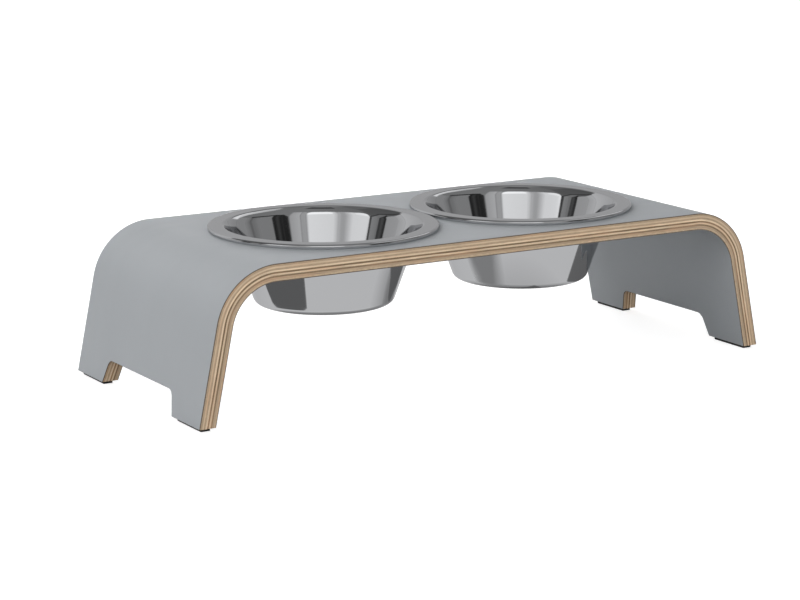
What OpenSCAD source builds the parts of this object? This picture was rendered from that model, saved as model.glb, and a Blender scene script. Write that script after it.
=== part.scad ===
// Raised feeding bench for a dog: a moulded plywood bench faced with grey laminate, two lift-out
// steel bowls hung by their flanges in its top, and four thin foot pads.
// Millimetres, +Z up. The origin is on the floor, under the middle of the bench. X runs along the
// bench, and the front edge faces -Y.

/* [Bench] */
// Height of the board's top face above the floor
bench_height = 133.5; // [120:0.5:180]
// Lean of each leg from upright, in degrees
leg_lean = 11.8; // [0:0.1:15]
// Radius of the bends, measured on the outer face
bend_radius = 57; // [40:1:70]
// Flat of the top between a bowl's flange and the start of the bend
end_margin = 9.5; // [2:0.5:60]
// Flat of the top between a bowl's flange and the front or rear edge
side_margin = 17.7; // [8:0.1:40]

/* [Board layers] */
// Thickness of one veneer
veneer_thickness = 1.5; // [1:0.1:1.8]
// Number of veneers pressed together
veneer_count = 9; // [5:2:9]
// Thickness of the laminate sheet on each face
laminate_thickness = 0.8; // [0.5:0.1:1.2]

/* [Leg notches] */
// Length of each foot along the floor, between the notch and the bench's edge
foot_length = 51.5; // [30:0.5:70]
// Height of the notch above the underside of the feet
notch_height = 20.8; // [12:0.1:30]
// Slope of the notch's sides from upright, in degrees
notch_slope = 19.5; // [0:0.5:30]
// Radius of the notch's top corners
notch_corner = 8; // [3:0.5:10]

/* [Foot pads] */
// Thickness of a pad
pad_thickness = 3; // [1:0.1:5]
// Width of a pad, across the board's thickness
pad_width = 8.5; // [4:0.5:10]
// Distance from the ends of the foot to the ends of its pad
pad_inset = 4; // [1:0.5:10]

/* [Bowls] */
// Outer diameter of the flange
flange_diameter = 204.6; // [195:0.1:220]
// Gap between the two flanges
bowl_gap = 3.8; // [1:0.1:40]
// Height of the flange's top above the board
flange_height = 4; // [2.5:0.1:7]
// Outer diameter of the bowl's body where it passes the board's top face
body_diameter = 170.2; // [150:0.1:178]
// Slope of the bowl's wall from upright, in degrees
wall_slope = 19.9; // [5:0.1:25]
// Depth of a bowl outside, from the flange's top to the underside
bowl_depth = 70.6; // [40:0.1:90]
// Thickness of the steel
sheet_thickness = 0.8; // [0.5:0.1:1]
// Radius between the flange and the wall, on the top face
lip_radius = 5; // [2:0.1:8]
// Radius of the flange's turned-down edge, on the outside
edge_radius = 1.5; // [1.1:0.1:2.2]
// Radius between the wall and the bottom, on the outside
bottom_radius = 8; // [3:0.5:20]
// Play between the bowl's body and the hole in the board, all round
hole_clearance = 1.9; // [1:0.1:3]

/* [Hidden] */
$fn = 96;
// How far a cutter runs past what it cuts
cut_over = 10;
// How far the cut at an outward corner runs past the sides, as a scale about the arc's centre
cut_scale = 1.2;
// Added to each arc's radius, so that it crosses the sides that it meets and leaves no step there
arc_hair = 0.001;

board_thickness = veneer_count * veneer_thickness + 2 * laminate_thickness;
flange_radius = flange_diameter / 2;
bowl_x = flange_radius + bowl_gap / 2;
bench_depth = flange_diameter + 2 * side_margin;
notch_half_width = bench_depth / 2 - foot_length;
hole_radius = body_diameter / 2 + hole_clearance;

// The bend's tangent length, and where the top's plane and the leg's outer plane would meet
bend_tangent = bend_radius * tan((90 - leg_lean) / 2);
corner_x = bowl_x + flange_radius + end_margin + bend_tangent;
foot_z = pad_thickness;
foot_outer_x = corner_x + (bench_height - foot_z) * tan(leg_lean);
foot_span = board_thickness / cos(leg_lean);

laminate_colour = [0.62, 0.63, 0.65];
dark_veneer_colour = [0.63, 0.50, 0.38];
light_veneer_colour = [0.78, 0.67, 0.52];
pad_colour = [0.07, 0.07, 0.07];
steel_colour = [0.80, 0.81, 0.82];

function unit(v) = v / norm(v);

// A corner of an outline, from the points before and after it: how it turns, its arc's centre and
// radius, and the points where the arc meets the two sides
function corner(before, here, after, radius) =
    let (
        back = unit(before - here),
        on = unit(after - here),
        half_angle = acos(back * on) / 2,
        reach = radius / tan(half_angle)
    )
    [
        cross(here - before, after - here),
        here + unit(back + on) * radius / sin(half_angle),
        radius,
        here + back * reach,
        here,
        here + on * reach
    ];

module corner_circle(c) {
    translate(c[1])
        circle(r = c[2] + arc_hair);
}

// What is cut away to round a corner: on an outward corner all that lies past the arc, and on an
// inward corner the circle itself, out of the filling that the outline has there
module corner_cut(c) {
    if (c[0] > 0)
        difference() {
            polygon([
                c[1],
                c[1] + cut_scale * (c[3] - c[1]),
                c[1] + cut_scale * (c[4] - c[1]),
                c[1] + cut_scale * (c[5] - c[1])
            ]);
            corner_circle(c);
        }
    else
        corner_circle(c);
}

// Closed outline through points taken anticlockwise, each corner rounded by its radius. Zero
// leaves a corner sharp.
module rounded_outline(points, radii) {
    count = len(points);
    corners = [
        for (i = [0:count - 1])
            corner(points[(i + count - 1) % count], points[i], points[(i + 1) % count], radii[i])
    ];
    difference() {
        polygon([for (c = corners) each c[2] > 0 && c[0] < 0 ? [c[3], c[1], c[5]] : [c[4]]]);
        for (c = corners)
            if (c[2] > 0)
                corner_cut(c);
    }
}

// Everything under the bench's outer face moved inwards by inset, down to the height low
module under_face(inset, low) {
    side = inset / cos(leg_lean);
    top_x = corner_x + inset * tan(leg_lean) - side;
    low_x = corner_x + (bench_height - low) * tan(leg_lean) - side;
    radius = bend_radius - inset;
    rounded_outline(
        [
            [-low_x, low],
            [low_x, low],
            [top_x, bench_height - inset],
            [-top_x, bench_height - inset]
        ],
        [0, 0, radius, radius]
    );
}

// The level notch under one leg, as a cutter that runs through both legs
module notch_cutter() {
    slope = tan(notch_slope);
    low_half = notch_half_width + cut_over * slope;
    top_half = notch_half_width - notch_height * slope;
    rotate([90, 0, 90])
        linear_extrude(2 * (foot_outer_x + cut_over), center = true)
            rounded_outline(
                [
                    [-low_half, foot_z - cut_over],
                    [low_half, foot_z - cut_over],
                    [top_half, foot_z + notch_height],
                    [-top_half, foot_z + notch_height]
                ],
                [0, 0, notch_corner, notch_corner]
            );
}

// One layer of the moulded board, between two insets from its outer face
module board_layer(outer, inner) {
    difference() {
        rotate([90, 0, 0])
            linear_extrude(bench_depth, center = true)
                difference() {
                    under_face(outer, foot_z);
                    under_face(inner, foot_z - cut_over);
                }
        for (side = [-1, 1])
            translate([side * bowl_x, 0, bench_height - board_thickness - cut_over])
                cylinder(h = board_thickness + 2 * cut_over, r = hole_radius);
        notch_cutter();
    }
}

module top_laminate() {
    color(laminate_colour)
        board_layer(0, laminate_thickness);
}

// Veneers are counted from the outer face, and their grain runs crosswise by turns
module veneer(i) {
    outer = laminate_thickness + (i - 1) * veneer_thickness;
    color(i % 2 == 0 ? light_veneer_colour : dark_veneer_colour)
        board_layer(outer, outer + veneer_thickness);
}

module under_laminate() {
    color(laminate_colour)
        board_layer(board_thickness - laminate_thickness, board_thickness);
}

// side is -1 on the left and 1 on the right, end is -1 at the front and 1 at the rear
module pad(side, end) {
    length = foot_length - 2 * pad_inset;
    color(pad_colour)
        translate([
            side * (foot_outer_x - foot_span / 2),
            end * (notch_half_width + pad_inset + length / 2),
            pad_thickness / 2
        ])
            cube([pad_width, length, pad_thickness], center = true);
}

// Heights here are measured from the board's top face, where the flange's edge rests
module bowl_profile() {
    slope = tan(wall_slope);
    wall_across = sheet_thickness / cos(wall_slope);
    body_radius = body_diameter / 2;
    bottom = flange_height - bowl_depth;
    floor_z = bottom + sheet_thickness;
    under_flange = flange_height - sheet_thickness;
    hollow_r = (hole_radius + flange_radius - sheet_thickness) / 2;
    low = bottom - cut_over;
    difference() {
        rounded_outline(
            [
                [0, low],
                [hollow_r, low],
                [hollow_r, 0],
                [flange_radius, 0],
                [flange_radius, flange_height],
                [body_radius - wall_across + flange_height * slope, flange_height],
                [body_radius - wall_across + floor_z * slope, floor_z],
                [0, floor_z]
            ],
            [0, 0, 0, 0, edge_radius, lip_radius, bottom_radius - sheet_thickness, 0]
        );
        rounded_outline(
            [
                [-cut_over, low - cut_over],
                [flange_radius - sheet_thickness, low - cut_over],
                [flange_radius - sheet_thickness, under_flange],
                [body_radius + under_flange * slope, under_flange],
                [body_radius + bottom * slope, bottom],
                [-cut_over, bottom]
            ],
            [0, 0, edge_radius - sheet_thickness, lip_radius - sheet_thickness, bottom_radius, 0]
        );
    }
}

module bowl(side) {
    color(steel_colour)
        translate([side * bowl_x, 0, bench_height])
            rotate_extrude()
                bowl_profile();
}

top_laminate();
for (i = [1:veneer_count]) veneer(i);
under_laminate();
pad(-1, -1);  // pad_left_front
pad(-1, 1);  // pad_left_rear
pad(1, -1);  // pad_right_front
pad(1, 1);  // pad_right_rear
bowl(-1);  // bowl_left
bowl(1);  // bowl_right
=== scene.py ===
"""Looks of a raised dog feeding station: a moulded plywood bench faced with grey laminate, four
foot pads and two lift-out steel bowls, built around the packed CAD part. Metres, +Z up."""

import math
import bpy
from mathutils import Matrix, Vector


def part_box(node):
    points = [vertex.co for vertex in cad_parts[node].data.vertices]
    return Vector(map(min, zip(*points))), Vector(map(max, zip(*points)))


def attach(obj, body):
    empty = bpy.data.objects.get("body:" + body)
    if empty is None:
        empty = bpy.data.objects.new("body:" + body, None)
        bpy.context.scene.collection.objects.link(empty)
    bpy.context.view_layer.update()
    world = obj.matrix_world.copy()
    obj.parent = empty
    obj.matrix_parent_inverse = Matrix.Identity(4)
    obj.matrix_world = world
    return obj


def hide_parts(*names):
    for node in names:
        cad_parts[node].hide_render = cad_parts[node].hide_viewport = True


bl_info = {
    "name": "Dog Feeding Station",
    "version": (1, 0, 0),
    "blender": (4, 5, 0),
    "location": "View3D > Sidebar > Feeding Station",
    "description": "Sheets and veneers of the bench, its foot pads, the steel bowls and the studio",
    "category": "Add Mesh",
}

from typing import NamedTuple

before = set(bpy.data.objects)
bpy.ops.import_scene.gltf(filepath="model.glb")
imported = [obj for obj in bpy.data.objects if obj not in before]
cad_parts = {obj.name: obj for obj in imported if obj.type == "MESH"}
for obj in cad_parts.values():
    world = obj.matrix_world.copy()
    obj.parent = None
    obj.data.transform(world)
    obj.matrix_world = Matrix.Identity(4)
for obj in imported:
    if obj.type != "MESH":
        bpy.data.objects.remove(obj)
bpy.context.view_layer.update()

import bmesh
import bpy
import numpy as np
from bpy.props import FloatProperty, FloatVectorProperty, IntProperty, PointerProperty
from bpy.types import Operator, Panel, PropertyGroup
from mathutils import Matrix, Vector

MM = 0.001

# The bench's layers from the outer face inwards, as the CAD part names them
LAYER_NODES = ["top_laminate"] + [f"veneer_{i}" for i in range(1, 10)] + ["under_laminate"]
PAD_NODES = ["pad_left_front", "pad_left_rear", "pad_right_front", "pad_right_rear"]

# Each bowl's node, and the body that carries it
BOWL_NODES = {"bowl_left": "left_bowl", "bowl_right": "right_bowl"}

# Where the CAD part has the bench: its corners, its top face, its feet's underside and its rear edge
BENCH_LOW, BENCH_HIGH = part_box("top_laminate")
BOARD_TOP = BENCH_HIGH.z
FOOT_Z = BENCH_LOW.z
HALF_DEPTH = BENCH_HIGH.y

# The depth of each layer's outer face under the bench's outer face, and of the board's inner face
LAYER_DEPTHS = [BOARD_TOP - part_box(name)[1].z for name in LAYER_NODES]
BOARD_THICKNESS = LAYER_DEPTHS[-1] + LAYER_DEPTHS[1]
LAYER_DEPTHS.append(BOARD_THICKNESS)

# The name of the attribute that holds each point's place in the board before it was bent
FLAT_PLACE = "flat_place"

# An edge stays sharp where its faces turn by more than this
SHARP_ANGLE = math.radians(28)

# How far a cutter runs past what it cuts
CUT_OVER = 20 * MM

# Points nearer to each other than this are merged
MERGE_DISTANCE = 0.001 * MM

# A point nearer than this to a layer's face lies on it
ON_FACE = 0.02 * MM

# A shorter length than this counts as none
NO_LENGTH = 0.0001 * MM

# Steps of the round outlines and arcs. A small arc has a radius under 1 mm.
HOLE_STEPS = 192
NOTCH_CORNER_STEPS = 12
BOWL_ARC_STEPS = 16
SMALL_ARC_STEPS = 6
DISC_STEPS = 48
FLOOR_STEPS = 96

# Where each softbox stands, and its width and height
SOFTBOXES = {
    "left": ((-2.1, -0.2, 1.7), 2.6, 2.2),
    "front": ((0.1, -2.8, 0.5), 2.4, 0.8),
    "rear": ((0.5, 2.7, 0.7), 2.4, 1.0),
}

# What the softboxes shine at
LAMP_TARGET = Vector((0, 0, 0.1))

# Width of the camera's sensor in millimetres, and the nearest and farthest that it sees
SENSOR_WIDTH = 36
CLIP_RANGE = (0.01, 100)

# How pale each veneer is along the bench's cut edges, from the outer face inwards
VENEER_TONES = [0.4, 0.7, 0.39, 0.98, 0.0, 0.88, 0.08, 0.42, 0.57]

# How far each veneer's texture is shifted from that of the veneer before it
VENEER_SHIFT = (3.7, 1.9, 5.3)


def linear(*srgb):
    """Linear colour of an sRGB colour written as three numbers from 0 to 255."""
    scaled = [value / 255 for value in srgb]
    return [v / 12.92 if v <= 0.04045 else ((v + 0.055) / 1.055) ** 2.4 for v in scaled]


def length_prop(name, description, default):
    return FloatProperty(
        name=name, description=description, default=default, min=0, subtype="DISTANCE", unit="LENGTH"
    )


def angle_prop(name, description, degrees):
    return FloatProperty(
        name=name, description=description, default=math.radians(degrees), subtype="ANGLE", unit="ROTATION"
    )


def power_prop(name, description, watts):
    return FloatProperty(name=name, description=description, default=watts, min=0, unit="POWER")


def share_prop(name, description, default):
    return FloatProperty(name=name, description=description, default=default, min=0, max=1)


def colour_prop(name, description, *srgb):
    return FloatVectorProperty(
        name=name, description=description, default=linear(*srgb), size=3, min=0, max=1, subtype="COLOR"
    )


class BenchShape(PropertyGroup):
    """Sizes of the moulded bench, besides those that come from the CAD part"""

    leg_lean: angle_prop("Leg lean", "Lean of each leg from upright", 11.8)
    bend_radius: length_prop("Bend radius", "Radius of the bends on the outer face", 57 * MM)
    notch_half_width: length_prop("Notch half width", "Half width of the foot notch", 68.5 * MM)
    notch_height: length_prop("Notch height", "Height of the notch above the feet", 20.8 * MM)
    notch_slope: angle_prop("Notch slope", "Slope of the notch's sides from upright", 19.5)
    notch_corner: length_prop("Notch corner", "Radius of the notch's top corners", 8 * MM)
    hole_radius: length_prop("Hole radius", "Radius of the holes that hold the bowls", 87 * MM)
    arris: length_prop("Arris", "Width of the eased edge of each laminate sheet", 0.25 * MM)
    pad_round: length_prop("Pad rounding", "Rounding of the foot pads' edges", 0.4 * MM)
    bend_steps: IntProperty(name="Bend steps", description="Strips in each bend", default=44, min=8)


class BenchColours(PropertyGroup):
    """Colours of the bench's laminate, wood and foot pads"""

    laminate: colour_prop("Laminate", "Decorative face of the laminate", 167, 171, 175)
    core: colour_prop("Laminate core", "Brown resin core, seen on the laminate's cut edges", 86, 74, 61)
    pale_wood: colour_prop("Pale wood", "Veneers cut along the grain", 215, 192, 162)
    dark_wood: colour_prop("Dark wood", "Veneers cut across the grain", 110, 88, 63)
    red_wood: colour_prop("Reddish wood", "Warmer patches in the veneers", 181, 141, 108)
    pad: colour_prop("Foot pad", "Black rubber of the foot pads", 22, 22, 23)


class BowlShape(PropertyGroup):
    """Sizes of the pressed steel bowls, besides those that come from the CAD part"""

    body_radius: length_prop("Body radius", "Outer radius of the wall at the board's top", 85.1 * MM)
    wall_slope: angle_prop("Wall slope", "Slope of the wall from upright", 19.9)
    sheet: length_prop("Sheet", "Thickness of the steel", 0.8 * MM)
    lip_radius: length_prop("Lip radius", "Radius of the inner edge of the flange", 4 * MM)
    lip_turn: angle_prop("Lip turn", "How far the flange's inner edge turns down", 45)
    shoulder_radius: length_prop("Shoulder radius", "Wider radius on into the wall", 18 * MM)
    edge_radius: length_prop("Edge radius", "Radius of the flange's turned-down edge", 2.2 * MM)
    foot_radius: length_prop("Foot radius", "Radius of the turned-down edge's foot", 0.55 * MM)
    nick_radius: length_prop("Nick radius", "Radius of that foot's inner corner", 0.2 * MM)
    bottom_radius: length_prop("Bottom radius", "Radius between the wall and the bottom", 8 * MM)
    strip: length_prop("Strip", "Widest strip of the mesh along the section", 6 * MM)
    turns: IntProperty(name="Steps round", description="Steps round each bowl", default=288, min=48)


class SteelFinish(PropertyGroup):
    """Finish of the bowls"""

    colour: colour_prop("Steel", "Colour of the polished stainless steel", 197, 198, 200)
    edge: colour_prop("Edge", "Tint of the steel where it is seen at a low angle", 228, 228, 229)
    polished: share_prop("Polished", "Roughness of the clean steel", 0.05)
    wiped: share_prop("Wiped", "Roughness of the wipe marks", 0.08)


class StudioSetup(PropertyGroup):
    """Camera, floor, lights and what the steel reflects"""

    camera_place: FloatVectorProperty(
        name="Camera place",
        description="Where the camera stands",
        default=(-1.16064, -1.86949, 0.53384),
        size=3,
        subtype="TRANSLATION",
        unit="LENGTH",
    )
    camera_azimuth: angle_prop("Camera azimuth", "Turn of the view from +Y", -31.262)
    camera_elevation: angle_prop("Camera elevation", "How far the camera looks down", 12.245)
    camera_roll: angle_prop("Camera roll", "Turn about the line of sight", -0.118)
    camera_lens: FloatProperty(
        name="Lens",
        description=f"Focal length on a {SENSOR_WIDTH} mm sensor",
        default=111.62,
        unit="CAMERA",
    )
    floor_radius: length_prop("Floor radius", "Radius of the floor", 6.0)
    floor_grey: share_prop("Floor grey", "Brightness of the floor's own matt surface", 0.5)
    floor_glow: share_prop("Floor glow", "What the camera sees the floor add near the bench", 0.78)
    glow_rises: length_prop("Glow rises", "How far out that glow starts to rise", 0.7)
    glow_full: length_prop("Glow full", "How far out that glow is full white", 1.6)
    floor_shows: share_prop("Floor in the steel", "Brightness of the floor as the steel shows it", 0.78)
    screen_reach: length_prop("Screen reach", "Distance of the reflected screens", 20.0)
    screen_gap: length_prop("Screen gap", "How much nearer a screen is for each step nearer", 0.1)
    screen_step: FloatProperty(
        name="Screen step", description="Largest step in degrees along a reflected screen", default=1.25
    )
    shade_height: length_prop("Shade step", "Height from each reflected shade to the next", 0.2 * MM)
    sky_strength: share_prop("Sky", "Even light from all round", 0.25)
    left_watts: power_prop("Left", "Power of the left softbox", 42.0)
    front_watts: power_prop("Front", "Power of the front softbox", 50.0)
    rear_watts: power_prop("Rear", "Power of the rear softbox", 94.0)


def bend_turn(shape):
    """Angle through which each bend turns, from the flat top to the leg."""
    return math.pi / 2 - shape.leg_lean


def bend_centre(shape):
    """Centre (x, z) of the right-hand bend's arcs."""
    corner_x = BENCH_HIGH.x - (BOARD_TOP - FOOT_Z) * math.tan(shape.leg_lean)
    tangent = shape.bend_radius * math.tan(bend_turn(shape) / 2)
    return corner_x - tangent, BOARD_TOP - shape.bend_radius


def board_curve(shape, depth):
    """Points (x, z) along the board's section at a depth under its outer face, from the left foot
    over the top to the right foot."""
    centre_x, centre_z = bend_centre(shape)
    radius = shape.bend_radius - depth
    arc = []
    for i in range(shape.bend_steps + 1):
        turn = bend_turn(shape) * i / shape.bend_steps
        arc.append((centre_x + radius * math.sin(turn), centre_z + radius * math.cos(turn)))
    end_x, end_z = arc[-1]
    foot = (end_x + (end_z - FOOT_Z) * math.tan(shape.leg_lean), FOOT_Z)
    right = arc + [foot]
    return [(-x, z) for x, z in reversed(right)] + right


def flat_place(shape, x, z):
    """Place of a point in the board before it was bent: its length along the board from the middle
    and its depth under the outer face."""
    centre_x, centre_z = bend_centre(shape)
    side = -1 if x < 0 else 1
    across, up = abs(x) - centre_x, z - centre_z
    if across <= 0:
        return side * abs(x), BOARD_TOP - z
    middle_radius = shape.bend_radius - BOARD_THICKNESS / 2
    turn = math.atan2(across, up)
    if turn <= bend_turn(shape):
        return side * (centre_x + middle_radius * turn), shape.bend_radius - math.hypot(across, up)
    lean = shape.leg_lean
    down = across * math.sin(lean) - up * math.cos(lean)
    depth = shape.bend_radius - (across * math.cos(lean) + up * math.sin(lean))
    return side * (centre_x + middle_radius * bend_turn(shape) + down), depth


def arc_points(centre, radius, start, end, steps):
    """Points (a, b) on an arc from one angle to another, both ends included."""
    return [
        (centre[0] + radius * math.cos(t), centre[1] + radius * math.sin(t))
        for t in np.linspace(start, end, steps + 1)
    ]


def circle_points(centre, radius, steps):
    """Points (a, b) round a circle, the first of them not repeated."""
    return arc_points(centre, radius, 0, math.tau * (1 - 1 / steps), steps - 1)


def round_corner(before, here, after, radius, steps):
    """Points of the arc that rounds the corner of an outline at here, and the arc's centre."""
    here, back, on = Vector(here), Vector(before) - Vector(here), Vector(after) - Vector(here)
    back.normalize()
    on.normalize()
    half_angle = back.angle(on) / 2
    centre = here + (back + on).normalized() * radius / math.sin(half_angle)
    first = here + back * radius / math.tan(half_angle) - centre
    last = here + on * radius / math.tan(half_angle) - centre
    start = math.atan2(first.y, first.x)
    sweep = math.atan2(first.x * last.y - first.y * last.x, first.dot(last))
    return arc_points(centre, radius, start, start + sweep, steps), centre


def add_prism(mesh, outline, place_low, place_high):
    """Adds to a bmesh the prism between an outline's points placed by two functions."""
    low = [mesh.verts.new(place_low(a, b)) for a, b in outline]
    high = [mesh.verts.new(place_high(a, b)) for a, b in outline]
    count = len(outline)
    for i in range(count):
        j = (i + 1) % count
        mesh.faces.new((low[i], low[j], high[j], high[i]))
    mesh.faces.new(low[::-1])
    mesh.faces.new(high)


def link_object(name, data):
    """A new object in the scene that holds the data."""
    made = bpy.data.objects.new(name, data)
    bpy.context.scene.collection.objects.link(made)
    return made


def object_of(mesh, name):
    """A new object in the scene from a bmesh, which is freed."""
    data = bpy.data.meshes.new(name)
    mesh.to_mesh(data)
    mesh.free()
    return link_object(name, data)


def bowl_middle(node):
    """Where the middle of a bowl's node lies along the bench."""
    low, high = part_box(node)
    return (low.x + high.x) / 2


def cutter_object(shape):
    """The two round holes for the bowls and the notch through both legs, as one cutter."""
    mesh = bmesh.new()
    circle = circle_points((0, 0), shape.hole_radius, HOLE_STEPS)
    for x in map(bowl_middle, BOWL_NODES):
        add_prism(
            mesh,
            circle,
            lambda a, b: (x + a, b, BOARD_TOP - BOARD_THICKNESS - CUT_OVER),
            lambda a, b: (x + a, b, BOARD_TOP + CUT_OVER),
        )
    slope = math.tan(shape.notch_slope)
    low_half = shape.notch_half_width + CUT_OVER * slope
    top_half = shape.notch_half_width - shape.notch_height * slope
    low_z, top_z = FOOT_Z - CUT_OVER, FOOT_Z + shape.notch_height
    corners = [(-low_half, low_z), (low_half, low_z), (top_half, top_z), (-top_half, top_z)]
    right, _ = round_corner(*corners[1:], shape.notch_corner, NOTCH_CORNER_STEPS)
    left, _ = round_corner(*corners[2:], corners[0], shape.notch_corner, NOTCH_CORNER_STEPS)
    reach = BENCH_HIGH.x + CUT_OVER
    sides = corners[:2] + right + left
    add_prism(mesh, sides, lambda a, b: (-reach, a, b), lambda a, b: (reach, a, b))
    bmesh.ops.recalc_face_normals(mesh, faces=mesh.faces)
    return object_of(mesh, "Board_cutter")


def layer_block(shape, outer, inner, name):
    """One layer of the bent board, between two depths under its outer face, not cut yet."""
    mesh = bmesh.new()
    rows = []
    curves = zip(board_curve(shape, outer), board_curve(shape, inner))
    for (outer_x, outer_z), (inner_x, inner_z) in curves:
        corners = [(outer_x, -HALF_DEPTH, outer_z), (outer_x, HALF_DEPTH, outer_z)]
        corners += [(inner_x, HALF_DEPTH, inner_z), (inner_x, -HALF_DEPTH, inner_z)]
        rows.append([mesh.verts.new(corner) for corner in corners])
    for row, following in zip(rows, rows[1:]):
        for k in range(4):
            j = (k + 1) % 4
            mesh.faces.new((row[k], row[j], following[j], following[k]))
    mesh.faces.new(rows[0][::-1])
    mesh.faces.new(rows[-1])
    bmesh.ops.recalc_face_normals(mesh, faces=mesh.faces)
    return object_of(mesh, name)


def cut_with(piece, cutter):
    """Cuts the cutter out of the piece, for good."""
    cut = piece.modifiers.new("Cut", "BOOLEAN")
    cut.operation = "DIFFERENCE"
    cut.solver = "EXACT"
    cut.object = cutter
    graph = bpy.context.evaluated_depsgraph_get()
    solid = bpy.data.meshes.new_from_object(piece.evaluated_get(graph))
    piece.modifiers.clear()
    old = piece.data
    piece.data = solid
    solid.name = piece.name
    bpy.data.meshes.remove(old)


def ease_edges(mesh, shape, depth):
    """Bevels the edges round the face that lies at a depth under the bench's outer face."""
    level = {v for v in mesh.verts if abs(flat_place(shape, v.co.x, v.co.z)[1] - depth) < ON_FACE}
    around = [
        edge
        for edge in mesh.edges
        if all(v in level for v in edge.verts)
        and len(edge.link_faces) == 2
        and edge.calc_face_angle() > SHARP_ANGLE
    ]
    bmesh.ops.bevel(
        mesh,
        geom=around,
        offset=shape.arris,
        segments=2,
        profile=0.5,
        affect="EDGES",
        clamp_overlap=True,
    )


def finish_layer(piece, shape, outer, inner, eased_depth):
    """Eases the edges of one face where asked, smooths the bends, marks the cut edges with the second
    material, and keeps the place that each point had before the board was bent."""
    mesh = bmesh.new()
    mesh.from_mesh(piece.data)
    bmesh.ops.dissolve_degenerate(mesh, dist=MERGE_DISTANCE, edges=mesh.edges)
    if eased_depth is not None:
        ease_edges(mesh, shape, eased_depth)
    for face in mesh.faces:
        face.smooth = True
        depths = [flat_place(shape, v.co.x, v.co.z)[1] for v in face.verts]
        on_face = any(all(abs(d - level) < ON_FACE for d in depths) for level in (outer, inner))
        face.material_index = 0 if on_face else 1
    for edge in mesh.edges:
        edge.smooth = len(edge.link_faces) == 2 and edge.calc_face_angle() < SHARP_ANGLE
    mesh.to_mesh(piece.data)
    mesh.free()
    places = piece.data.attributes.new(FLAT_PLACE, "FLOAT_VECTOR", "POINT")
    for vertex, entry in zip(piece.data.vertices, places.data):
        along, depth = flat_place(shape, vertex.co.x, vertex.co.z)
        entry.vector = (along, vertex.co.y, depth)
    weigh = piece.modifiers.new("Flat faces lead", "WEIGHTED_NORMAL")
    weigh.mode = "FACE_AREA"
    weigh.keep_sharp = True


def build_layer(name, index, shape, cutter, eased_depth):
    """Builds the board's layer of that index, in place of its CAD node."""
    outer, inner = LAYER_DEPTHS[index], LAYER_DEPTHS[index + 1]
    piece = layer_block(shape, outer, inner, name)
    cut_with(piece, cutter)
    finish_layer(piece, shape, outer, inner, eased_depth)
    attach(piece, "bench")
    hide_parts(LAYER_NODES[index])
    return piece


class Nodes:
    """The nodes of a material or of the world, with short ways to add and join them."""

    # Numbers of the mix node's sockets for colours, since it gives other sockets the same names
    FIRST_COLOUR, SECOND_COLOUR, MIXED_COLOUR = 6, 7, 2

    def __init__(self, owner, places=None):
        """Textures follow the places that the mesh's points carry under that name, if any."""
        owner.use_nodes = True
        self.owner = owner
        self.places = places
        self.tree = owner.node_tree
        self.shader = self.tree.nodes.get("Principled BSDF")

    def add(self, kind, inputs=None, **settings):
        """A new node, with settings by name and inputs by their socket's name or number."""
        node = self.tree.nodes.new(kind)
        for key, value in settings.items():
            setattr(node, key, value)
        for key, value in (inputs or {}).items():
            self.feed(node.inputs[key], value)
        return node

    def feed(self, socket, value):
        """Joins an output to a socket, or sets the socket to a constant."""
        if isinstance(value, bpy.types.NodeSocket):
            self.tree.links.new(value, socket)
        else:
            socket.default_value = value

    def set(self, **inputs):
        """Sets inputs of the material's principled shader."""
        for key, value in inputs.items():
            self.feed(self.shader.inputs[key.replace("_", " ")], value)

    def surface(self, shader):
        """Makes another shader the material's surface, in place of the principled one."""
        self.tree.nodes.remove(self.shader)
        self.feed(self.tree.nodes["Material Output"].inputs["Surface"], shader)

    def attribute(self, name, output="Fac"):
        """What the mesh's points carry under a name."""
        return self.add("ShaderNodeAttribute", attribute_name=name).outputs[output]

    def noise(self, scale, detail, roughness=0.5, shift=(0, 0, 0)):
        """Cloudy noise from about 0.3 to 0.7. A scale of 1000 along an axis gives it features of
        about a millimetre."""
        if self.places:
            source = self.attribute(self.places, "Vector")
        else:
            source = self.add("ShaderNodeTexCoord").outputs["Object"]
        place = self.add("ShaderNodeMapping", {"Vector": source, "Scale": scale, "Location": shift})
        settings = {"Vector": place.outputs[0], "Scale": 1.0, "Detail": detail, "Roughness": roughness}
        return self.add("ShaderNodeTexNoise", settings).outputs["Fac"]

    def span(self, value, low, high, to_low=0.0, to_high=1.0, kind="LINEAR"):
        """Maps a value from one range to another, clamped."""
        settings = {"Value": value, "From Min": low, "From Max": high, "To Min": to_low, "To Max": to_high}
        return self.add("ShaderNodeMapRange", settings, interpolation_type=kind).outputs["Result"]

    def blend(self, factor, first, second):
        """Mixes two colours."""
        colours = {"Factor": factor, self.FIRST_COLOUR: first, self.SECOND_COLOUR: second}
        return self.add("ShaderNodeMix", colours, data_type="RGBA").outputs[self.MIXED_COLOUR]

    def blend_shaders(self, factor, first, second):
        """Mixes two shaders."""
        return self.add("ShaderNodeMixShader", {0: factor, 1: first, 2: second}).outputs[0]

    def combine(self, first, second, operation):
        """One value from two, by an operation such as MULTIPLY."""
        return self.add("ShaderNodeMath", {0: first, 1: second}, operation=operation).outputs[0]

    def bump(self, height, strength, distance):
        """Gives the principled shader's surface a relief."""
        settings = {"Height": height, "Strength": strength, "Distance": distance}
        self.set(Normal=self.add("ShaderNodeBump", settings).outputs["Normal"])


def rgba(colour, gain=1.0):
    """A colour as a node takes it, lighter or darker by a gain."""
    return (*(min(1.0, c * gain) for c in colour), 1.0)


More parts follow.
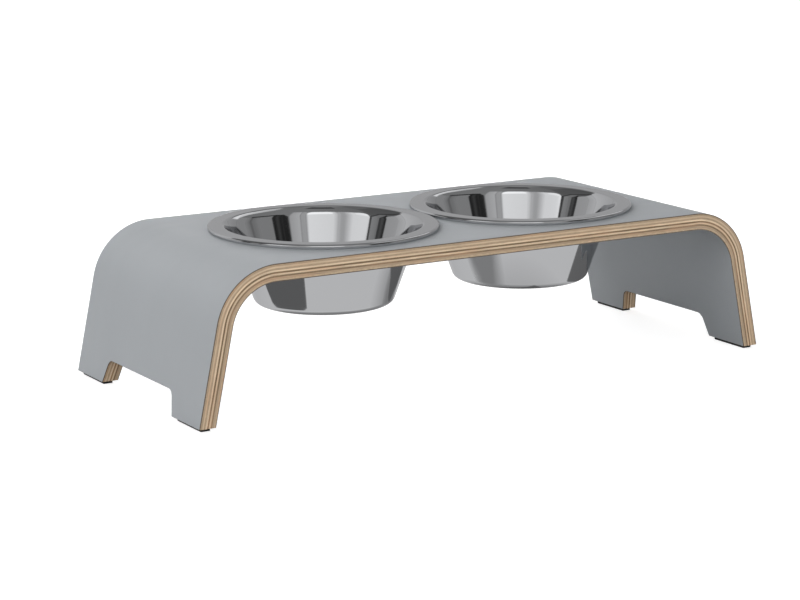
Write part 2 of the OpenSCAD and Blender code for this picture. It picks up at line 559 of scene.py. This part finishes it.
def laminate_face_material(colour):
    """Matt grey high pressure laminate, with faint clouding, a fine speckle and a soft grain."""
    made = Nodes(bpy.data.materials.new("Grey laminate face"), FLAT_PLACE)
    wide = made.noise((9, 9, 9), detail=3.0)
    cloudy = made.blend(made.span(wide, 0.35, 0.65), rgba(colour, 0.985), rgba(colour, 1.015))
    fine = made.noise((1400, 1400, 1400), detail=1.0)
    speckled = made.blend(made.span(fine, 0.35, 0.65, to_high=0.5), cloudy, rgba(colour, 0.95))
    grain = made.noise((2600, 2600, 2600), detail=2.0)
    wipes = made.noise((14, 40, 14), detail=4.0, shift=(3, 1, 0))
    made.set(Base_Color=speckled, Roughness=made.span(wipes, 0.3, 0.7, to_low=0.44, to_high=0.52))
    made.bump(grain, strength=0.12, distance=0.03 * MM)
    return made.owner


def laminate_core_material(colour):
    """Brown paper and resin core of the laminate, in thin layers along its cut edges."""
    made = Nodes(bpy.data.materials.new("Laminate core"), FLAT_PLACE)
    plies = made.noise((30, 30, 9000), detail=2.0)
    layered = made.blend(made.span(plies, 0.3, 0.7), rgba(colour, 0.82), rgba(colour, 1.15))
    patches = made.noise((160, 160, 160), detail=3.0)
    worn = made.blend(made.span(patches, 0.4, 0.75, to_high=0.35), layered, rgba(colour, 1.5))
    made.set(Base_Color=worn, Roughness=0.6)
    made.bump(plies, strength=0.2, distance=0.04 * MM)
    return made.owner


def veneer_material(index, colours):
    """Moulded hardwood veneer. Odd veneers show their end grain along the bench's edges, as fine
    pores, and even ones show long grain, as streaks."""
    crosswise = index % 2 == 1
    shift = tuple(index * step for step in VENEER_SHIFT)
    base = Vector(colours.dark_wood).lerp(Vector(colours.pale_wood), VENEER_TONES[index - 1])
    made = Nodes(bpy.data.materials.new(f"Veneer {index}"), FLAT_PLACE)
    streak_scale = (300, 40, 1100) if crosswise else (40, 300, 1100)
    streaks = made.noise(streak_scale, detail=4.0, roughness=0.65, shift=shift)
    grained = made.blend(made.span(streaks, 0.32, 0.68), rgba(base, 0.76), rgba(base, 1.14))
    patches = made.noise((22, 22, 260), detail=2.0, shift=shift)
    warm = made.blend(made.span(patches, 0.5, 0.72, to_high=0.55), grained, rgba(colours.red_wood))
    pore_scale = (900, 90, 1500) if crosswise else (90, 900, 1500)
    pores = made.noise(pore_scale, detail=1.0, shift=shift)
    flecked = made.blend(made.span(pores, 0.6, 0.72, to_high=0.5), warm, rgba(base, 0.55))
    made.set(Base_Color=flecked, Roughness=made.span(streaks, 0.3, 0.7, to_low=0.5, to_high=0.62))
    made.bump(pores, strength=0.25, distance=0.05 * MM)
    return made.owner


def rubber_material(colour):
    """Black rubber of the foot pads, with a fine matt grain."""
    made = Nodes(bpy.data.materials.new("Black rubber"))
    grain = made.noise((1800, 1800, 1800), detail=2.0)
    dusty = made.noise((120, 120, 120), detail=3.0)
    made.set(
        Base_Color=made.blend(made.span(dusty, 0.4, 0.8, to_high=0.4), rgba(colour), rgba(colour, 2.2)),
        Roughness=made.span(grain, 0.3, 0.7, to_low=0.7, to_high=0.85),
    )
    made.bump(grain, strength=0.3, distance=0.05 * MM)
    return made.owner


def steel_material(finish):
    """Stainless steel polished on a lathe, with faint turning lines and wipe marks."""
    made = Nodes(bpy.data.materials.new("Polished stainless steel"))
    lines = made.noise((2, 2, 2600), detail=2.0)
    smudges = made.noise((22, 22, 22), detail=4.0)
    made.set(
        Base_Color=rgba(finish.colour),
        Metallic=1.0,
        Specular_Tint=rgba(finish.edge),
        Roughness=made.span(smudges, 0.3, 0.7, to_low=finish.polished, to_high=finish.wiped),
    )
    made.bump(lines, strength=0.02, distance=0.01 * MM)
    return made.owner


def shoulder(shape, corner, thinner):
    """The two corners that round the corner between the flange and the wall, each as a point and a
    radius: the flange's inner edge, and the wider shoulder that runs on into the wall. Both radii
    are thinner by that much."""
    lip, wide = shape.lip_radius - thinner, shape.shoulder_radius - thinner
    turn, full = shape.lip_turn, math.pi / 2 - shape.wall_slope
    inward = lip * math.sin(turn) + wide * (math.sin(full) - math.sin(turn))
    down = lip * (1 - math.cos(turn)) + wide * (math.cos(turn) - math.cos(full))
    along_wall = down / math.sin(full)
    along_flange = inward - along_wall * math.cos(full)
    first = along_flange - lip * math.tan(turn / 2)
    second = along_wall - wide * math.tan((full - turn) / 2)
    return [
        ((corner[0] + first, corner[1]), lip),
        ((corner[0] - second * math.cos(full), corner[1] - second * math.sin(full)), wide),
    ]


def bowl_profile(shape, node):
    """Closed section of a bowl as points (radius, height) with their outward normals, from the
    middle of the floor's top, up inside, over the flange and back underneath."""
    low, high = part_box(node)
    flange_radius = (high.x - low.x) / 2
    slope, sheet = math.tan(shape.wall_slope), shape.sheet
    top, bottom = high.z, low.z
    under, floor = top - sheet, bottom + sheet
    wall_in = shape.body_radius - sheet / math.cos(shape.wall_slope)
    skirt = flange_radius - sheet

    def inner(z):
        return wall_in + (z - BOARD_TOP) * slope

    def outer(z):
        return shape.body_radius + (z - BOARD_TOP) * slope

    corners = [
        ((0, floor), 0),
        ((inner(floor), floor), shape.bottom_radius - sheet),
        *reversed(shoulder(shape, (inner(top), top), 0)),
        ((flange_radius, top), shape.edge_radius),
        ((flange_radius, BOARD_TOP), shape.foot_radius),
        ((skirt, BOARD_TOP), shape.nick_radius),
        ((skirt, under), shape.edge_radius - sheet),
        *shoulder(shape, (outer(under), under), sheet),
        ((outer(bottom), bottom), shape.bottom_radius),
        ((0, bottom), 0),
    ]
    points, normals = [], []
    for i, (here, radius) in enumerate(corners):
        if radius == 0:
            points.append(Vector(here))
            normals.append(Vector((0, 1 if i == 0 else -1)))
            continue
        steps = BOWL_ARC_STEPS if radius > MM else SMALL_ARC_STEPS
        before, after = Vector(corners[i - 1][0]), Vector(corners[i + 1][0])
        arc, centre = round_corner(before, here, after, radius, steps)
        turns_out = (Vector(here) - before).cross(after - Vector(here)) < 0
        for point in arc:
            outward = (Vector(point) - centre) * (1 if turns_out else -1)
            points.append(Vector(point))
            normals.append(outward.normalized())
    return points, normals


def spread_profile(points, normals, longest):
    """Adds points along the straight stretches, so that no strip is wider than longest, and leaves
    out a point that two arcs share."""
    full_points, full_normals = [points[0]], [normals[0]]
    for i in range(1, len(points)):
        pieces = math.ceil(((points[i] - points[i - 1]).length - NO_LENGTH) / longest)
        for k in range(1, pieces + 1):
            full_points.append(points[i - 1].lerp(points[i], k / pieces))
            full_normals.append(normals[i - 1].lerp(normals[i], k / pieces).normalized())
    return full_points, full_normals


def ring_faces(ring, following):
    """Faces between two rings of points. A ring of one point lies on the axis."""
    turns = max(len(ring), len(following))
    faces = []
    for k in range(turns):
        j = (k + 1) % turns
        if len(ring) == 1:
            faces.append((ring[0], following[k], following[j]))
        elif len(following) == 1:
            faces.append((ring[j], ring[k], following[0]))
        else:
            faces.append((ring[j], ring[k], following[k], following[j]))
    return faces


def lathe(name, shape, node):
    """Turns a bowl's section about its upright axis, with exact normals for clean reflections."""
    points, normals = spread_profile(*bowl_profile(shape, node), shape.strip)
    verts, vertex_normals, rings = [], [], []
    for point, normal in zip(points, normals):
        turns = 1 if point.x < NO_LENGTH else shape.turns
        rings.append(range(len(verts), len(verts) + turns))
        for k in range(turns):
            angle = math.tau * k / turns
            verts.append((point.x * math.cos(angle), point.x * math.sin(angle), point.y))
            vertex_normals.append((normal.x * math.cos(angle), normal.x * math.sin(angle), normal.y))
    faces = []
    for ring, following in zip(rings, rings[1:]):
        faces += ring_faces(ring, following)
    data = bpy.data.meshes.new(name)
    data.from_pydata(verts, [], faces)
    data.polygons.foreach_set("use_smooth", [True] * len(faces))
    data.normals_split_custom_set_from_vertices(vertex_normals)
    bowl = link_object(name, data)
    bowl.location = (bowl_middle(node), 0, 0)
    return bowl


def build_layers(shape, names, eased_depths):
    """Builds the layers that are named by their index with one cutter, which is then removed. Where
    a layer has an eased depth, its edges there are eased."""
    cutter = cutter_object(shape)
    pieces = [build_layer(name, i, shape, cutter, eased_depths.get(i)) for i, name in names.items()]
    bpy.data.objects.remove(cutter, do_unlink=True)
    return pieces


class MESH_OT_feeding_laminates(Operator):
    """Build the two laminate sheets, on the bench's outer face and on its underside"""

    bl_idname = "mesh.feeding_laminates"
    bl_label = "Laminate Sheets"
    bl_options = {"REGISTER", "UNDO"}

    def execute(self, context):
        shape, colours = context.scene.bench_shape, context.scene.bench_colours
        face = laminate_face_material(colours.laminate)
        core = laminate_core_material(colours.core)
        last = len(LAYER_NODES) - 1
        names = {0: "Laminate_top_sheet", last: "Laminate_under_sheet"}
        for piece in build_layers(shape, names, {0: LAYER_DEPTHS[0], last: LAYER_DEPTHS[-1]}):
            piece.data.materials.append(face)
            piece.data.materials.append(core)
        return {"FINISHED"}


class MESH_OT_feeding_veneers(Operator):
    """Build the nine moulded veneers between the laminate sheets"""

    bl_idname = "mesh.feeding_veneers"
    bl_label = "Veneers"
    bl_options = {"REGISTER", "UNDO"}

    def execute(self, context):
        shape, colours = context.scene.bench_shape, context.scene.bench_colours
        count = len(LAYER_NODES) - 2
        names = {index: f"Veneer_sheet_{index}" for index in range(1, count + 1)}
        for index, piece in enumerate(build_layers(shape, names, {}), start=1):
            wood = veneer_material(index, colours)
            piece.data.materials.append(wood)
            piece.data.materials.append(wood)
        return {"FINISHED"}


class MESH_OT_feeding_pads(Operator):
    """Dress the four rubber foot pads, and round their edges"""

    bl_idname = "mesh.feeding_pads"
    bl_label = "Foot Pads"
    bl_options = {"REGISTER", "UNDO"}

    def execute(self, context):
        rubber = rubber_material(context.scene.bench_colours.pad)
        for name in PAD_NODES:
            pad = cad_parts[name]
            pad.data.materials.clear()
            pad.data.materials.append(rubber)
            weld = pad.modifiers.new("Weld", "WELD")
            weld.merge_threshold = MERGE_DISTANCE
            soften = pad.modifiers.new("Rounded edges", "BEVEL")
            soften.width = context.scene.bench_shape.pad_round
            soften.segments = 3
            soften.limit_method = "ANGLE"
        return {"FINISHED"}


class MESH_OT_feeding_bowls(Operator):
    """Turn the two steel bowls"""

    bl_idname = "mesh.feeding_bowls"
    bl_label = "Steel Bowls"
    bl_options = {"REGISTER", "UNDO"}

    def execute(self, context):
        steel = steel_material(context.scene.steel_finish)
        for node, body in BOWL_NODES.items():
            bowl = lathe(node.capitalize() + "_steel", context.scene.bowl_shape, node)
            bowl.data.materials.append(steel)
            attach(bowl, body)
            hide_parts(node)
        return {"FINISHED"}


# Where most screens have their foot: under the horizon, behind the floor's edge
GROUND = (-4, -4)


class Screen(NamedTuple):
    """A card far off in the studio that shows in the steel alone. Its azimuths are in degrees from
    the rear, clockwise from above. Its tops, shows, the grey that it gives the steel, and its feet
    are taken at either azimuth. Its sides fade over soft degrees and its foot and top over ends, its
    top corners are rounded, and of two screens the one with more steps nearer hides the other."""

    name: str
    azimuths: tuple
    tops: tuple
    shows: tuple
    feet: tuple = GROUND
    soft: float = 1.2
    nearer: float = 1
    rounded: float = 0
    ends: float = 1.2


SCREENS = [
    Screen("Rear screen left", (308, 332.5), (29, 36), (142, 166)),
    Screen("Rear screen middle", (331.5, 377), (37, 43), (170, 156)),
    Screen("Rear screen right", (16, 53.5), (42, 25), (156, 143)),
    Screen("Rear screen end", (52.5, 75), (25, 25), (143, 127)),
    Screen("Right wall", (74, 95.5), (31, 30), (127, 124)),
    Screen("Right wall end", (94.5, 104), (30, 29), (124, 100)),
    Screen("Right wall corner", (103, 107), (29, 30), (86, 86), soft=1),
    Screen("Right wall turn", (106, 118), (30, 32), (100, 116)),
    Screen("Right wall front", (117.5, 141.5), (32, 33), (116, 116)),
    Screen("Right wall rail", (101, 141.5), (32.5, 37), (50, 28), feet=(27.5, 31.5), nearer=2),
    Screen("Tall black flag", (138.8, 154), (37.5, 37.5), (28, 28), soft=0.8, nearer=2),
    Screen("Black flag's corner", (152, 164.2), (39.5, 25), (31, 31), soft=1.6, nearer=2),
    Screen("Black flag's fold", (143, 151), (33, 33), (52, 52), soft=3, nearer=3),
    Screen("Window frame", (163.5, 179), (48, 48), (146, 163)),
    Screen("Window reveal", (178, 187.5), (48, 48), (144, 148), soft=2, nearer=1.5),
    Screen(
        "Window left pane", (186.2, 231.5), (47.5, 48), (209, 200), feet=(22, 22),
        soft=3, nearer=2, rounded=9,
    ),
    Screen(
        "Window right pane", (229.5, 272.7), (48, 41.5), (197, 206), feet=(22, 22),
        soft=0.8, nearer=1.9, rounded=9,
    ),
    Screen(
        "Window top rim", (186.5, 224), (47, 48), (240, 232), feet=(32, 34),
        soft=2, nearer=2.6, rounded=9,
    ),
    Screen(
        "Window right rim", (252.6, 272.7), (45, 41.5), (212, 228), feet=(32, 24),
        soft=2, nearer=2.6, rounded=9,
    ),
    Screen("Window bar", (223, 249.5), (48, 46), (150, 150), feet=(22, 22), soft=11, nearer=3),
    Screen("Left post", (271.5, 284.5), (21, 36), (127, 110), soft=1),
    Screen("Left post rail", (283, 302), (35, 36), (106, 96), soft=1),
    Screen("Left post edge", (271.9, 275.5), (30, 26), (42, 42), soft=1, nearer=2.7),
    Screen("Thin black flag", (284.5, 303), (21, 34), (40, 30), soft=1, nearer=2),
    Screen("Thin black flag's fold", (287, 295), (22.5, 26), (66, 62), soft=3, nearer=2.2),
    Screen("Wall's corner", (296.7, 318), (28, 32), (140, 144), soft=0.8, nearer=2.5, rounded=7),
    Screen("Low wall", (162.5, 272.7), (24, 24), (132, 138), nearer=3.2),
    Screen("Rear wall left", (270, 360), (25, 25), (130, 130), soft=0, nearer=0),
    Screen("Rear wall right", (0, 165), (25, 25), (135, 114), soft=0, nearer=0),
    Screen("Ceiling over the window", (182, 270.5), (90, 90), (112, 98), feet=(24, 24), soft=0, nearer=0),
    Screen("Ceiling left", (270, 360), (90, 90), (92, 92), feet=(24, 24), soft=0, nearer=0),
    Screen("Ceiling right", (0, 183), (90, 90), (100, 112), feet=(24, 24), soft=0, nearer=0),
    Screen("Dark header", (272.5, 351.5), (62, 66), (80, 74), feet=(24, 26), soft=5, nearer=0.5, ends=5),
    Screen("Header's end", (273.5, 292), (28, 39.5), (56, 52), feet=(22.5, 35), nearer=1.5),
    Screen("Header's edge", (291, 335), (39.5, 38), (50, 52), feet=(35, 34), nearer=1.5),
    Screen("Dark skylight", (170, 236), (78, 78), (66, 66), feet=(66, 66), soft=3),
    Screen("Upper light", (0, 360), (90, 90), (125, 125), feet=(78, 78), soft=0, nearer=1.2),
    Screen("Lamp bank low", (58, 76.5), (42, 50), (205, 215), feet=(22, 23), soft=3, nearer=1.5, ends=2),
    Screen("Lamp bank rear", (69, 92), (66, 66), (190, 190), feet=(20, 41), soft=3, ends=2),
    Screen("Lamp bank front", (88, 120), (67, 66), (190, 150), feet=(37, 56), soft=3, ends=2),
]


class Shade(NamedTuple):
    """A shade on the floor that shows in the steel alone: its outline (x, y) in millimetres, the
    grey that it gives the steel, and the share of it over which it fades out."""

    name: str
    outline: list
    shows: float
    fade: float


# Between and below the bowls, and by the legs. Each lies over those before it.
SHADES = [
    Shade("Shade between the bowls", circle_points((85, -20), 130, DISC_STEPS), 120, 1.0),
    Shade("Shade below the left bowl", circle_points((-104, 0), 88, DISC_STEPS), 118, 0.35),
    Shade("Shade below the right bowl", circle_points((104, 0), 88, DISC_STEPS), 118, 0.35),
    Shade(
        "Shade beside the right bowl",
        [(80, -20), (45, 4), (0, 26), (-60, 52), (-130, 90), (-150, -80), (-60, -96), (-5, -76), (45, -52)],
        119,
        0.65,
    ),
    Shade(
        "Shade by the left leg",
        [(-300, -139), (-243, -103), (-201.5, -73.5), (-224, -12), (-237, 52), (-254, 75), (-300, 115)],
        84,
        0.04,
    ),
    Shade(
        "Shade by the right leg",
        [(380, -170), (248, -121), (197, -97), (190, -70), (210, 0), (240, 60), (380, 120)],
        92,
        0.04,
    ),
    Shade(
        "Shade under the right bowl",
        [
            (82, -100), (81, -60), (64, -18), (68, 15), (103, 44), (124, 75),
            (165, 83), (178, 85), (160, 40), (140, -2), (118, -42), (98, -80),
        ],
        86,
        0.12,
    ),
]


def steel_sees(piece):
    """Leaves a stage piece to the reflections alone, out of the camera's view and the light."""
    for rays in ("camera", "diffuse", "transmission", "volume_scatter", "shadow"):
        setattr(piece, f"visible_{rays}", False)


def card_material():
    """Glow of the stage's cards, with the brightness and the cover that their points carry."""
    made = Nodes(bpy.data.materials.new("Studio card"))
    clear = made.add("ShaderNodeBsdfTransparent").outputs[0]
    glow = made.add("ShaderNodeEmission", {"Strength": made.attribute("level")}).outputs[0]
    made.surface(made.blend_shaders(made.attribute("cover"), clear, glow))
    return made.owner


def card(name, verts, faces, levels, covers, material):
    """Adds a stage card from points, faces, and each point's brightness and cover."""
    data = bpy.data.meshes.new(name)
    data.from_pydata(verts, [], faces)
    for key, values in (("level", levels), ("cover", covers)):
        data.attributes.new(key, "FLOAT", "POINT").data.foreach_set("value", values)
    data.materials.append(material)
    steel_sees(link_object(name, data))


def level_for(grey, steel):
    """Brightness of a card for which steel of that brightness shows the grey."""
    return linear(grey)[0] / steel


def screen_cover(screen, side, under, over):
    """How far a screen hides what is behind it, from 0 to 1, so many degrees from its nearer side,
    its foot and its top."""
    if screen.soft == 0:
        return 1.0
    cover = min(1.0, side / screen.soft, under / screen.ends, over / screen.ends)
    if side < screen.rounded and over < screen.rounded:
        inside = screen.rounded - math.hypot(screen.rounded - side, screen.rounded - over)
        cover = max(0.0, min(cover, inside / screen.ends))
    return cover


def screen_card(screen, setup, steel, material):
    """A screen as a patch of a wide dome round the bench."""
    first, last = screen.azimuths
    width = last - first
    columns = max(2, math.ceil(width / setup.screen_step))
    rows = max(2, math.ceil((max(screen.tops) - min(screen.feet)) / setup.screen_step))
    reach = setup.screen_reach - setup.screen_gap * screen.nearer
    verts, levels, covers, faces = [], [], [], []
    for i in range(columns + 1):
        share = i / columns
        turn = math.radians(first + width * share)
        side = min(share, 1 - share) * width
        foot, top, shows = (a + (b - a) * share for a, b in (screen.feet, screen.tops, screen.shows))
        for j in range(rows + 1):
            under, over = (top - foot) * j / rows, (top - foot) * (1 - j / rows)
            rise = math.radians(foot + under)
            across, height = reach * math.cos(rise), BOARD_TOP + reach * math.sin(rise)
            verts.append((across * math.sin(turn), across * math.cos(turn), height))
            levels.append(level_for(shows, steel))
            covers.append(screen_cover(screen, side, under, over))
    for i in range(columns):
        for j in range(rows):
            k = i * (rows + 1) + j
            faces.append((k, k + 1, k + rows + 2, k + rows + 1))
    card(screen.name, verts, faces, levels, covers, material)


def shade_card(shade, height, steel, material):
    """A shade as a flat card just over the floor, which fades out towards its outline."""
    outline = [Vector(place) * MM for place in shade.outline]
    count = len(outline)
    middle = sum(outline, Vector((0, 0))) / count
    verts, faces = [(*middle, height)], []
    for share in (1 - shade.fade, 1):
        verts += [(*middle.lerp(place, share), height) for place in outline]
    for i in range(count):
        j = (i + 1) % count
        faces.append((0, 1 + i, 1 + j))
        faces.append((1 + i, 1 + count + i, 1 + count + j, 1 + j))
    levels = [level_for(shade.shows, steel)] * len(verts)
    covers = [1.0] * (count + 1) + [0.0] * count
    card(shade.name, verts, faces, levels, covers, material)


def add_camera(setup):
    """The camera at the photograph's viewpoint."""
    camera = link_object("Camera", bpy.data.cameras.new("Camera"))
    camera.data.lens = setup.camera_lens
    camera.data.sensor_width = SENSOR_WIDTH
    camera.data.clip_start, camera.data.clip_end = CLIP_RANGE
    camera.location = setup.camera_place
    turn = Matrix.Rotation(setup.camera_azimuth, 3, "Z")
    tilt = Matrix.Rotation(math.pi / 2 - setup.camera_elevation, 3, "X")
    roll = Matrix.Rotation(setup.camera_roll, 3, "Z")
    camera.rotation_euler = (turn @ tilt @ roll).to_euler()
    bpy.context.scene.camera = camera


def softbox(name, place, width, height, watts):
    """Adds a soft lamp that shines at the bench and doesn't show in reflections."""
    lamp = bpy.data.lights.new(name, "AREA")
    lamp.shape = "RECTANGLE"
    lamp.size = width
    lamp.size_y = height
    lamp.energy = watts
    holder = link_object(name, lamp)
    holder.location = place
    holder.rotation_euler = (LAMP_TARGET - Vector(place)).to_track_quat("-Z", "Y").to_euler()
    holder.visible_camera = False
    holder.visible_glossy = False


def white_world(strength):
    """An even white sky, which the camera and the steel see at full white."""
    world = bpy.data.worlds.new("Studio")
    bpy.context.scene.world = world
    made = Nodes(world)
    path = made.add("ShaderNodeLightPath").outputs
    seen = made.combine(path["Is Camera Ray"], path["Is Glossy Ray"], "MAXIMUM")
    background = made.tree.nodes["Background"]
    made.feed(background.inputs["Color"], (1, 1, 1, 1))
    made.feed(background.inputs["Strength"], made.span(seen, 0.0, 1.0, to_low=strength))


def floor_material(setup):
    """Plain pale floor: it shows the camera full white under the object's soft shadow, and shows
    the steel an even brightness."""
    made = Nodes(bpy.data.materials.new("Pale floor"))
    path = made.add("ShaderNodeLightPath").outputs
    place = made.add("ShaderNodeTexCoord").outputs["Object"]
    away = made.add("ShaderNodeVectorMath", {0: place}, operation="LENGTH").outputs["Value"]
    reach = (setup.glow_rises, setup.glow_full)
    rising = made.span(away, *reach, to_low=setup.floor_glow, kind="SMOOTHSTEP")
    glow = made.combine(path["Is Camera Ray"], rising, "MULTIPLY")
    matt = made.add("ShaderNodeBsdfDiffuse", {"Color": rgba([setup.floor_grey] * 3)})
    bright = made.add("ShaderNodeEmission", {"Strength": glow})
    lit = made.add("ShaderNodeAddShader", {0: matt.outputs[0], 1: bright.outputs[0]})
    even = made.add("ShaderNodeEmission", {"Strength": setup.floor_shows})
    made.surface(made.blend_shaders(path["Is Glossy Ray"], lit.outputs[0], even.outputs[0]))
    return made.owner


class SCENE_OT_feeding_studio(Operator):
    """Set up the pale floor, the white surroundings, the soft lamps and the camera"""

    bl_idname = "scene.feeding_studio"
    bl_label = "Studio"
    bl_options = {"REGISTER", "UNDO"}

    def execute(self, context):
        setup = context.scene.studio_setup
        mesh = bmesh.new()
        bmesh.ops.create_circle(mesh, cap_ends=True, radius=setup.floor_radius, segments=FLOOR_STEPS)
        floor = object_of(mesh, "Floor")
        floor.data.materials.append(floor_material(setup))
        white_world(setup.sky_strength)
        for side, (place, width, height) in SOFTBOXES.items():
            softbox(f"{side.capitalize()} softbox", place, width, height, getattr(setup, f"{side}_watts"))
        steel = context.scene.steel_finish.colour[0]
        cards = card_material()
        for screen in SCREENS:
            screen_card(screen, setup, steel, cards)
        for order, shade in enumerate(SHADES, start=1):
            shade_card(shade, setup.shade_height * order, steel, cards)
        add_camera(setup)
        context.scene.view_settings.view_transform = "Standard"
        return {"FINISHED"}


class VIEW3D_PT_feeding_station(Panel):
    """Sizes, colours and build steps of the feeding station"""

    bl_label = "Feeding Station"
    bl_idname = "VIEW3D_PT_feeding_station"
    bl_space_type = "VIEW_3D"
    bl_region_type = "UI"
    bl_category = "Feeding Station"

    def draw(self, context):
        for operator in OPERATORS:
            self.layout.operator(operator.bl_idname)
        for name, group in GROUPS.items():
            box = self.layout.box()
            box.label(text=group.__doc__)
            for key in group.__annotations__:
                box.prop(getattr(context.scene, name), key)


GROUPS = {
    "bench_shape": BenchShape,
    "bench_colours": BenchColours,
    "bowl_shape": BowlShape,
    "steel_finish": SteelFinish,
    "studio_setup": StudioSetup,
}
OPERATORS = (
    MESH_OT_feeding_laminates,
    MESH_OT_feeding_veneers,
    MESH_OT_feeding_pads,
    MESH_OT_feeding_bowls,
    SCENE_OT_feeding_studio,
)
CLASSES = (*GROUPS.values(), *OPERATORS, VIEW3D_PT_feeding_station)


def register():
    for kind in CLASSES:
        bpy.utils.register_class(kind)
    for name, group in GROUPS.items():
        setattr(bpy.types.Scene, name, PointerProperty(type=group))


def unregister():
    for name in GROUPS:
        delattr(bpy.types.Scene, name)
    for kind in reversed(CLASSES):
        bpy.utils.unregister_class(kind)


def main():
    register()
    bpy.ops.mesh.feeding_laminates()
    bpy.ops.mesh.feeding_veneers()
    bpy.ops.mesh.feeding_pads()
    bpy.ops.mesh.feeding_bowls()
    bpy.ops.scene.feeding_studio()


if __name__ == "__main__":
    main()
